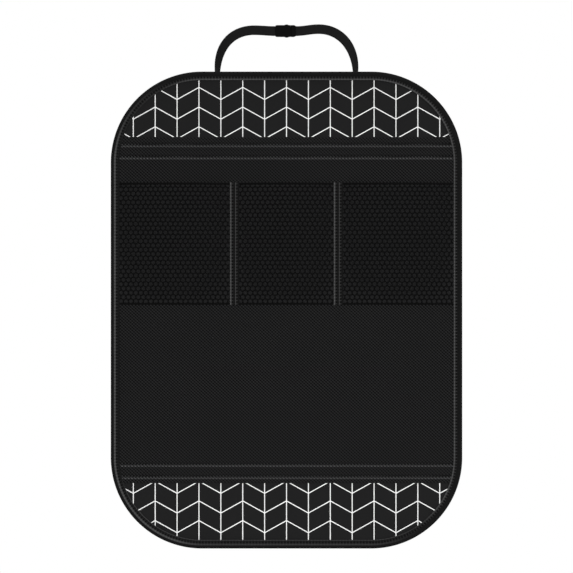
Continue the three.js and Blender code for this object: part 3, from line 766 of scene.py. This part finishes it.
# Inset from the edge, depth, painted highlight on the outer and inner crests, on the line at the
# inner edge and in dashes by the stitches, and how much the needle pulls it in. Its front lies before
# FRONT_DEPTH.
BINDING_PROFILE = np.array([
    (10.2, -1.2, 0, 0, 0, 0, 0), (10.3, -0.5, 0, 0, 0, 0, 0), (9.9, -0.08, 0, 0, 0, 0, 0),
    (9.1, 0.0, 0, 0, 0, 0, 0), (8.2, -0.1, 0, 0, 0, 0, 0.1), (7.2, -0.35, 0, 0, 0, 0, 0.3),
    (6.2, -0.1, 0, 0, 0, 0, 0.1), (5.0, 0.0, 0, 0, 0, 0, 0), (3.0, 0.0, 0, 0, 0, 0, 0),
    (1.7, -0.05, 0, 0, 0, 0, 0), (0.7, -0.3, 0, 0, 0, 0, 0), (0.0, -1.0, 0, 0, 0, 0, 0),
    (-0.35, -1.9, 0, 0, 0, 0, 0), (-0.3, -2.9, 0, 0, 0, 0, 0), (0.2, -3.7, 0, 0, 0, 0, 0),
    (1.0, -4.25, 0, 0, 0, 0, 0), (2.1, -4.5, 0, 0, 0, 0, 0), (3.6, -4.6, 0, 0, 0, 0, 0.05),
    (4.2, -4.55, 0.85, 0, 0, 0, 0.1), (5.1, -4.3, 1, 0, 0, 0, 0.15),
    (5.9, -3.95, 0.75, 0, 0, 0, 0.2), (6.6, -3.65, 0, 0, 0, 0.4, 0.3),
    (7.2, -3.55, 0, 0, 0, 0.5, 0.6), (7.9, -3.7, 0, 0, 0, 0.4, 0.3),
    (8.6, -4.05, 0, 0.1, 0, 0.3, 0.2), (9.2, -4.35, 0, 0.5, 0, 0.2, 0.15),
    (9.9, -4.55, 0, 1.05, 0.1, 0, 0.1), (10.5, -4.4, 0, 0.9, 1, 0, 0), (11.0, -3.9, 0, 0.5, 1, 0, 0),
    (10.8, -2.0, 0, 0, 0, 0, 0),
])
FRONT_DEPTH = -2
NEEDLE_PULL = 0.6

# Painted highlight on each crest round the mat, strongest where it faces the light from the upper
# right, at angles from the right side anticlockwise
OUTER_HIGHLIGHT = ((110, 0), (135, 0.25), (150, 0.45), (165, 0.85), (180, 1), (235, 1), (255, 0.85),
               (270, 0.42), (290, 0.15), (305, 0))
INNER_HIGHLIGHT = ((85, 1), (95, 0.85), (105, 0.6), (120, 0.3), (150, 0.2), (170, 0), (300, 0),
               (315, 0.4), (325, 0.8), (340, 1))
INNER_LINE_HIGHLIGHT = ((190, 0), (205, 0.5), (225, 0.8), (240, 0.65), (290, 0.65), (305, 0.35), (325, 0))


def by_direction(outward, stops):
    """Value for each outward direction, from values at angles."""
    degrees, values = zip(*stops)
    angle = np.degrees(np.arctan2(outward[:, 1], outward[:, 0]))
    return np.interp(angle, degrees, values, period=360)[:, None]


def binding(materials):
    whole = stitch_count() * STITCH_PITCH
    count = stitch_count() * SAMPLES_PER_STITCH
    points, outward = outline_steps(count)
    inset, depth, outer, inner, line, tick, pull = BINDING_PROFILE.T
    x = points[:, 0, None] - outward[:, 0, None] * inset
    z = points[:, 1, None] - outward[:, 1, None] * inset
    front = depth < FRONT_DEPTH
    at_hole = np.arange(count)[:, None] % SAMPLES_PER_STITCH == 0
    y = depth + at_hole * pull * np.where(front, 1.0, -1.0) * NEEDLE_PULL
    y = y + 0.05 * slow_waves(x, z, 37) * front
    vertices = np.stack([x, y, z], -1).reshape(-1, 3)
    faces = grid_faces(count, len(inset), close_rows=True, close_columns=True)[:, ::-1]
    along = np.repeat(np.arange(count) * whole / count, len(inset))[faces]
    along = np.where(along.max(1, keepdims=True) - along > whole / 2, along + whole, along)
    # Painted highlight: the crests and the dashes by the stitches are lighter on the sides of the mat
    # where they face the light from the upper right
    inner_lit_share = by_direction(outward, INNER_HIGHLIGHT)
    crest = outer * by_direction(outward, OUTER_HIGHLIGHT) + inner * inner_lit_share
    crest = crest + line * by_direction(outward, INNER_LINE_HIGHLIGHT)
    tick = tick * (0.55 + 0.45 * inner_lit_share)
    piece = add_mesh("binding", vertices, faces, materials["binding"], "tape",
                     along=along, crest=crest.ravel()[faces], tick=tick.ravel()[faces])
    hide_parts("edge_binding")


def stitch_count():
    straight = 4 * (HALF_WIDTH + HALF_HEIGHT - 2 * CORNER_RADIUS)
    return round((straight + 2 * math.pi * CORNER_RADIUS) / STITCH_PITCH)


# Thread


def stitches(centres, ahead, across, out, length, radius, slant, rise):
    """Stitches as short bowed tubes that sink into the cloth at both ends."""
    t = np.linspace(-1, 1, STITCH_RINGS)
    angle = np.arange(STITCH_SIDES) * 2 * math.pi / STITCH_SIDES
    thin = radius * (1 - 0.45 * t**6)
    along = t * length / 2
    lift = rise * (1 - t**4) - 0.8 * radius
    ways = (np.asarray(way, float)[:, None, None, :] for way in (centres, ahead, across, out))
    centres, ahead, across, out = ways
    line = centres + ahead * along[None, :, None, None] + across * (slant * t)[None, :, None, None]
    line = line + out * lift[None, :, None, None]
    ring = across * (np.cos(angle)[None, :] * thin[:, None])[None, :, :, None]
    ring = ring + out * (np.sin(angle)[None, :] * thin[:, None])[None, :, :, None]
    points = (line + ring).reshape(-1, 3)
    return points, repeat_faces(STITCH_RINGS, STITCH_SIDES, len(centres))


def straight_row(centres, ahead, across, out, **form):
    """Stitches that all lie the same way."""
    ways = (np.tile(way, (len(centres), 1)) for way in (ahead, across, out))
    return stitches(centres, *ways, **form)


def stitch_places(low, high):
    """Middles of the stitches between two places on a row."""
    return np.arange(math.ceil(low / STITCH_PITCH) + 0.5, high / STITCH_PITCH) * STITCH_PITCH


def row_points(x, y, z):
    """Points from coordinates, of which those that don't vary are single numbers."""
    return np.stack(np.broadcast_arrays(x, y, z), -1)


def thread_piece(name, runs, materials, node):
    piece = add_mesh(name, *join_parts(runs), materials["thread"], "thread")
    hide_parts(node)


def level_row(reach, z, y, out, form):
    """A level row of stitches across the mat."""
    centres = row_points(stitch_places(-reach, reach), y, z)
    return straight_row(centres, (1, 0, 0), (0, 0, 1), (0, out, 0), **form)


def panel_thread(materials):
    for hand, side in (("top", 1), ("bottom", -1)):
        for row, name in zip(PANEL_ROWS, ("outer", "inner")):
            reach = float(half_width_at(row, BINDING_WIDTH + 1))
            front = level_row(reach, side * row, PANEL_FRONT + THREAD_SINK, -1, STITCH)
            back = level_row(reach, side * row, 0, 1, REAR_STITCH)
            node = f"panel_stitch_{hand}_{name}"
            thread_piece(f"thread_{hand}_{name}", [front, back], materials, node)


def binding_thread(materials):
    count = stitch_count()
    points, outward = (values[1::2] for values in outline_steps(count * 2))
    ahead = row_points(-outward[:, 1], 0, outward[:, 0])
    across = row_points(outward[:, 0], 0, outward[:, 1])
    flat = points - outward * STITCH_INSET
    runs = []
    for y, out, form in ((-3.5, -1, STITCH), (-0.2, 1, BINDING_REAR_STITCH)):
        centres = row_points(flat[:, 0], y, flat[:, 1])
        runs.append(stitches(centres, ahead, across, np.tile([0, out, 0], (count, 1)), **form))
    thread_piece("binding_thread", runs, materials, "binding_stitch")


# Pockets


def pocket_bays():
    inner = TAPE_OFFSET - TAPE_WIDTH / 2
    outer = TAPE_OFFSET + TAPE_WIDTH / 2
    side = HALF_WIDTH - BINDING_WIDTH - 0.3
    return ((-side, -outer), (-inner, inner), (outer, side))


def bulge_at(x, z):
    """How far the slack mesh stands off the panel."""
    up = np.clip((z - MESH_BOTTOM) / (MESH_TOP - MESH_BOTTOM), 0, 1)
    total = np.zeros(np.broadcast(x, z).shape)
    for left, right in pocket_bays():
        across = np.clip((x - left) / (right - left), 0, 1)
        total = total + POCKET_BULGE * np.sin(np.pi * across) * np.sin(np.pi / 2 * up)
    return total


def mesh_cell(hole, pitch, rise):
    """Rings of one six sided cell round the origin: its border, and the thread's rounded rim."""
    corners = [(pitch / 2, rise / 3), (0, rise * 2 / 3), (-pitch / 2, rise / 3),
               (-pitch / 2, -rise / 3), (0, -rise * 2 / 3), (pitch / 2, -rise / 3)]
    border = []
    for i, corner in enumerate(corners):
        following = corners[(i + 1) % 6]
        border += [corner, ((corner[0] + following[0]) / 2, (corner[1] + following[1]) / 2)]
    border = np.array(border)
    return border, unit(border) * hole / 2


def hole_centres(side):
    """Middles of the mesh's holes, in offset rows from the first hole down."""
    rows = math.ceil((FIRST_HOLE[1] - MESH_BOTTOM) / MESH_RISE)
    columns = range(-2, math.ceil((side - FIRST_HOLE[0]) / MESH_PITCH) + 1)
    return np.array([
        (FIRST_HOLE[0] + (column - 0.5 * (row % 2)) * MESH_PITCH, FIRST_HOLE[1] - row * MESH_RISE)
        for row in range(rows) for column in columns
    ])


def pocket_mesh(materials):
    """Cells in offset rows over the whole strip, pressed flat where the tapes hold it."""
    side = HALF_WIDTH - BINDING_WIDTH + 1
    border, rim = mesh_cell(MESH_HOLE, MESH_PITCH, MESH_RISE)
    centres = hole_centres(side)[:, None, :]
    front = -MESH_CLOTH / 2
    rings = []
    for ring, y in ((border, front), (rim, front * 0.45), (rim, -front * 0.45), (border, -front)):
        flat = centres + ring[None]
        x = np.clip(flat[..., 0], -side, side)
        z = np.clip(flat[..., 1], MESH_BOTTOM, MESH_TOP)
        depth = MESH_FRONT + MESH_CLOTH / 2 + y - bulge_at(x, z)
        rings.append(np.stack([x, depth, z], -1))
    points = np.stack(rings, 1)
    cells, layers, corners = points.shape[:3]
    faces = repeat_faces(layers, corners, cells)[:, ::-1]
    piece = add_mesh("pocket_mesh", points.reshape(-1, 3), faces, materials["mesh"], "mesh")
    drop_flat_faces(piece)
    close_rim(piece)
    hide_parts("mesh_strip")
    return piece


# Ribbon's section: share of its half height, and depth as a share of its thickness
RIBBON_PROFILE = ((-1, 0.3), (-0.9, -0.5), (-0.45, -0.62), (0, -0.66), (0.45, -0.62), (0.9, -0.5),
                  (1, 0.3))


def ribbon(name, line, half, materials, node):
    """A narrow level tape along points, with soft edges and fine ribs."""
    columns = [line + (0, lift * TAPE_THICKNESS, share * half) for share, lift in RIBBON_PROFILE]
    faces = grid_faces(len(columns), len(line))
    along = np.tile(line[:, 0], len(columns))[faces]
    piece = add_mesh(name, np.vstack(columns), faces, materials["elastic"], "tape",
                     along=along, crest=0 * along, tick=0 * along)
    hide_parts(node)


def pocket_tapes(materials):
    reach = HALF_WIDTH - BINDING_WIDTH + 1
    x = np.linspace(-reach, reach, 440)
    flat = MESH_FRONT + MESH_CLOTH / 2
    half = (ELASTIC_HEIGHT + TAPE_LAP) / 2
    middle = POCKET_MOUTH - half
    mouth = row_points(x, flat - bulge_at(x, np.full(len(x), middle)), middle)
    ribbon("mouth_elastic", mouth, half, materials, "pocket_mouth_elastic")
    low, high = (corner.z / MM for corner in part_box("pocket_foot_tape"))
    foot = row_points(x, flat, (low + high + TAPE_LAP) / 2)
    ribbon("foot_tape", foot, (high - low + TAPE_LAP) / 2, materials, "pocket_foot_tape")


# Offset across, depth, painted highlight on the crests left of each row of sewing and in dashes by
# its stitches, and how much the needle pulls it in
TAPE_PROFILE = np.array([
    (-6.1, -3.4, 0.5, 0, 0), (-6.05, -4.1, 1, 0, 0), (-5.7, -4.5, 1.1, 0, 0),
    (-5.0, -4.6, 1.1, 0, 0.1), (-4.3, -4.45, 0.6, 0, 0.15), (-3.6, -4.15, 0, 0.3, 0.3),
    (-2.9, -4.0, 0, 0.4, 0.6), (-2.3, -4.1, 0, 0.3, 0.3), (-1.5, -4.35, 0, 0.1, 0.1),
    (-0.4, -4.5, 0, 0, 0), (0.4, -4.55, 0, 0, 0), (1.1, -4.5, 0.7, 0, 0),
    (1.6, -4.35, 0.4, 0, 0.1), (2.3, -4.15, 0, 0.3, 0.3), (2.9, -4.0, 0, 0.5, 0.6),
    (3.6, -4.1, 0, 0.3, 0.3), (4.4, -4.35, 0, 0, 0.1), (5.2, -4.5, 0, 0, 0),
    (5.8, -4.35, 0, 0, 0), (6.1, -3.4, 0, 0, 0),
])
TAPE_FOLD = 1.2
TAPE_PULL = 0.4
TAPE_THREAD = -3.95


def divider_tape(hand, side, materials):
    count = int((TAPE_TOP - TAPE_BOTTOM) / STITCH_PITCH * SAMPLES_PER_STITCH)
    z = np.linspace(TAPE_BOTTOM, TAPE_TOP, count)[:, None]
    # The third and fourth columns are painted highlight.
    offset, depth, ridge_highlight, tick, pull = TAPE_PROFILE.T
    hole = 0.5 + 0.5 * np.cos(2 * np.pi * z / STITCH_PITCH)
    fold = np.clip(np.minimum(z - TAPE_BOTTOM, TAPE_TOP - z) / TAPE_FOLD, 0, 1) ** 0.5
    y = MESH_FRONT + fold * (depth - MESH_FRONT) + hole * pull * TAPE_PULL
    points = row_points(side * TAPE_OFFSET + offset, y, z).reshape(-1, 3)
    faces = grid_faces(count, len(offset))
    along = np.repeat(z[:, 0], len(offset))[faces]
    piece = add_mesh(f"divider_{hand}", points, faces, materials["tape"], "tape", along=along,
                     crest=np.tile(ridge_highlight, count)[faces], tick=np.tile(tick, count)[faces])
    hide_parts(f"divider_tape_{hand}")


def divider_thread(hand, side, materials):
    for where, shift in (("inner", -side), ("outer", side)):
        row = side * TAPE_OFFSET + shift * TAPE_STITCH_OFFSET
        centres = row_points(row, TAPE_THREAD, stitch_places(TAPE_BOTTOM, TAPE_TOP))
        run = straight_row(centres, (0, 0, 1), (1, 0, 0), (0, -1, 0), **STITCH)
        node = f"divider_stitch_{hand}_{where}"
        thread_piece(f"thread_divider_{hand}_{where}", [run], materials, node)


# Strap


def cubic(points, count):
    t = np.linspace(0, 1, count)[:, None]
    a, b, c, d = (np.array(p, float) for p in points)
    return (1 - t) ** 3 * a + 3 * (1 - t) ** 2 * t * b + 3 * (1 - t) * t**2 * c + t**3 * d


def strap_line(side):
    """Points in X and Z from the mat's rear up, over and in to the buckle's bar."""
    bar = BUCKLE_END[side] - BAR_INSET
    mouth = BUCKLE_END[side] + 1
    rise = ARCH_RISE[side]
    top, level = HALF_HEIGHT + rise, HALF_HEIGHT + BUCKLE_RISE
    reach = (ARCH_SHOULDER - mouth) / 2.5
    leg = np.linspace((STRAP_OFFSET, TAIL_FOOT), (STRAP_OFFSET, HALF_HEIGHT), 40)
    up, out = ARCH_HANDLES[side]
    shoulder = cubic([
        (STRAP_OFFSET, HALF_HEIGHT), (STRAP_OFFSET, HALF_HEIGHT + up * rise),
        (ARCH_SHOULDER + out * (STRAP_OFFSET - ARCH_SHOULDER), top), (ARCH_SHOULDER, top),
    ], 200)
    crown = cubic([
        (ARCH_SHOULDER, top), (ARCH_SHOULDER - reach, top), (mouth + reach, level), (mouth, level),
    ], 80)
    entry = np.linspace((mouth, level), (bar, level), 10)
    return leg, shoulder[1:], crown[1:], entry[1:]


def smoothstep(x, low, high):
    t = np.clip((x - low) / (high - low), 0, 1)
    return t * t * (3 - 2 * t)


def leg_twist(z):
    """How far the webbing is turned at a height: not where it is sewn, most at the mat's edge."""
    below = smoothstep(z, TAIL_FOOT + TAIL_SEWN, HALF_HEIGHT)
    above = np.clip(1 - (z - HALF_HEIGHT) / BUCKLE_RISE, 0, 1)
    return LEG_TWIST * np.where(z <= HALF_HEIGHT, below, above)


def bar_turn(side):
    """Points of the webbing's turn round the buckle's bar."""
    angle = np.linspace(0, math.pi, 18)[1:]
    x = side * (BUCKLE_END[side] - BAR_INSET - WRAP_RADIUS * np.sin(angle))
    y = WEBBING_THICKNESS / 2 + WRAP_RADIUS - WRAP_RADIUS * np.cos(angle)
    return row_points(x, y, HALF_HEIGHT + BUCKLE_RISE)


def sewn_tail(side, crown, entry):
    """Points of the webbing's way back from the bar, down to where it lies on the arch."""
    back = np.vstack([entry[::-1], crown[::-1]])
    out = back[:, 0] - BUCKLE_END[side] - 1
    back, out = back[out <= TAIL_FOLD], out[out <= TAIL_FOLD]
    rear = WEBBING_THICKNESS / 2 + 2 * WRAP_RADIUS
    sewn = WEBBING_THICKNESS * 1.5 + 0.1
    depth = rear + (sewn - rear) * smoothstep(out, 0, TAIL_FOLD / 2)
    return row_points(side * back[:, 0], depth, back[:, 1])[1:]


def strap_route(side):
    """Centre line and width directions of a webbing leg with its fold round the bar."""
    runs = strap_line(side)
    line = np.vstack(runs)
    ahead = unit(np.gradient(line, axis=0))
    twist = leg_twist(line[:, 1])
    y = (WEBBING_WIDTH / 2 + 0.3) * np.sin(twist) + WEBBING_THICKNESS / 2 * np.cos(twist)
    leg = row_points(side * line[:, 0], y, line[:, 1])
    wide = np.stack([
        side * ahead[:, 1] * np.cos(twist), np.sin(twist), -ahead[:, 0] * np.cos(twist),
    ], -1)
    turn = np.vstack([bar_turn(side), sewn_tail(side, *runs[2:])])
    return np.vstack([leg, turn]), np.vstack([wide, np.tile([0.0, 0, 1], (len(turn), 1))])


def even_route(side):
    """The strap's route at even steps: distances, points, width directions and normals."""
    points, widths = strap_route(side)
    steps = np.concatenate([[0], np.cumsum(np.linalg.norm(np.diff(points, axis=0), axis=1))])
    even = np.linspace(0, steps[-1], int(steps[-1] / WEBBING_STEP))
    points = np.stack([np.interp(even, steps, column) for column in points.T], -1)
    widths = unit(np.stack([np.interp(even, steps, column) for column in widths.T], -1))
    ahead = unit(np.gradient(points, axis=0))
    return even, points, widths, unit(np.cross(ahead, widths))


def webbing_section():
    """Places across the band and levels as shares of its thickness, once round its section."""
    across = np.array([-1, -0.97, -0.88, -0.6, -0.3, 0, 0.3, 0.6, 0.88, 0.97, 1])
    level = np.array([0, 0.3, 0.5, 0.5, 0.5, 0.5, 0.5, 0.5, 0.5, 0.3, 0])
    return np.concatenate([across, across[-2:0:-1]]), np.concatenate([level, -level[-2:0:-1]])


def webbing(hand, side, materials):
    even, points, widths, normals = even_route(side)
    across, level = webbing_section()
    slanted = even[:, None] + np.abs(across) * HERRINGBONE
    yarn = WEBBING_RIB * np.sin(2 * np.pi * slanted / (2 * WEBBING_YARN))
    thick = level * WEBBING_THICKNESS + np.sign(level) * yarn
    vertices = points[:, None] + widths[:, None] * (across * WEBBING_SPREAD / 2)[None, :, None]
    vertices = (vertices + normals[:, None] * thick[..., None]).reshape(-1, 3)
    faces = grid_faces(len(points), len(across), close_columns=True)
    along = np.repeat(even, len(across))[faces]
    off = np.tile(across * WEBBING_WIDTH / 2, len(points))[faces]
    piece = add_mesh(f"webbing_{hand}", vertices, faces, materials["webbing"], "webbing",
                     along=along, across=off)
    close_ends(piece)
    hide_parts(f"strap_{hand}")


def strap_tack(hand, materials):
    """A bar tack: stitches side by side over the webbing's end."""
    low, high = (Vector(corner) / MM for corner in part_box(f"strap_tack_{hand}"))
    x = np.arange(low.x + 0.4, high.x - 0.2, TACK_PITCH)
    centres = row_points(x, WEBBING_THICKNESS + 0.12, (low.z + high.z) / 2)
    run = straight_row(centres, (0, 0, 1), (1, 0, 0), (0, 1, 0), length=high.z - low.z + 0.6,
                       **TACK_STITCH)
    thread_piece(f"bar_tack_{hand}", [run], materials, f"strap_tack_{hand}")


def plug_root(materials):
    """The web that joins the plug's prongs, which shows in the seam between the buckle's halves."""
    socket_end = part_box("buckle_socket")[1].x / MM
    low, high = (Vector(corner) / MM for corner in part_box("buckle_plug"))
    middle, level = (low.y + high.y) / 2, (low.z + high.z) / 2
    points = []
    for end, less in zip(ROOT_ENDS, (ROOT_CORNER, 0, 0, ROOT_CORNER)):
        y, z = ROOT_HALF_Y - less, ROOT_HALF_Z - less
        near_y, near_z = y - ROOT_CORNER, z - ROOT_CORNER
        octagon = ((near_y, z), (y, near_z), (y, -near_z), (near_y, -z),
                   (-near_y, -z), (-y, -near_z), (-y, near_z), (-near_y, z))
        points += [(socket_end + end, middle + across, level + up) for across, up in octagon]
    faces = grid_faces(len(ROOT_ENDS), 8, close_columns=True)
    piece = add_mesh("buckle_plug_root", points, faces, materials["buckle"], "buckle")
    close_ends(piece)


# Light and floor


def lamp(name, toward, distance, size, level, reflected):
    """A square soft lamp. At level 1 a white surface that faces it renders as white."""
    direction = Vector(toward).normalized()
    data = bpy.data.lights.new(name, "AREA")
    data.size = size
    data.energy = level * (math.pi * distance) ** 2
    light = bpy.data.objects.new(name, data)
    light.location = direction * distance
    light.rotation_euler = direction.to_track_quat("Z", "Y").to_euler()
    light.visible_glossy = reflected
    bpy.context.scene.collection.objects.link(light)


def world_light(strength):
    """White to the camera and in reflections, and a soft grey as light."""
    world = bpy.data.worlds.new("world")
    bpy.context.scene.world = world
    world.use_nodes = True
    tree = world.node_tree
    seen = tree.nodes["Background"]
    seen.inputs["Color"].default_value = (1, 1, 1, 1)
    soft = tree.nodes.new("ShaderNodeBackground")
    soft.inputs["Color"].default_value = (1, 1, 1, 1)
    soft.inputs["Strength"].default_value = strength
    mix = tree.nodes.new("ShaderNodeMixShader")
    tree.links.new(background_rays(tree), mix.inputs[0])
    tree.links.new(soft.outputs[0], mix.inputs[1])
    tree.links.new(seen.outputs[0], mix.inputs[2])
    tree.links.new(mix.outputs[0], tree.nodes["World Output"].inputs["Surface"])


def make_floor():
    angle = np.linspace(0, 2 * math.pi, FLOOR_SIDES, endpoint=False)
    rim = np.stack([np.cos(angle), np.sin(angle), 0 * angle], -1) * FLOOR_RADIUS
    mesh = bpy.data.meshes.new("floor")
    mesh.from_pydata(((rim + (0, 0, FLOOR_LEVEL)) * MM).tolist(), [], [list(range(len(rim)))])
    mesh.materials.append(floor_material())
    floor = bpy.data.objects.new("floor", mesh)
    bpy.context.scene.collection.objects.link(floor)


def dress_buckle(materials):
    for name in ("buckle_socket", "buckle_plug"):
        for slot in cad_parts[name].material_slots:
            slot.material = materials["buckle"]


def corner_nodes(name):
    return [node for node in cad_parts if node.startswith(name)]


make_camera()
materials = {key: make_material(*finish) for key, finish in FINISHES.items()}
backing = cloth_sheet("backing_cloth", materials["backing"], "backing", backing_depth, 3, 1,
                      "back_panel")
printed = cloth_sheet("printed_cloth", materials["printed"], "printed_cloth", print_depth, 4, -1,
                      "print_panel")
panel = twill_panel(materials)
pockets = pocket_mesh(materials)
print_field("print_top", 1, materials, corner_nodes("print_lines_top"))
print_field("print_bottom", -1, materials, corner_nodes("print_lines_bottom"))
binding(materials)
binding_thread(materials)
panel_thread(materials)
pocket_tapes(materials)
for hand, side in (("left", -1), ("right", 1)):
    divider_tape(hand, side, materials)
    divider_thread(hand, side, materials)
    webbing(hand, side, materials)
    strap_tack(hand, materials)
dress_buckle(materials)
plug_root(materials)

make_floor()
for row in LAMPS:
    lamp(*row)
world_light(WORLD_LEVEL)
bpy.context.scene.view_settings.view_transform = "Standard"
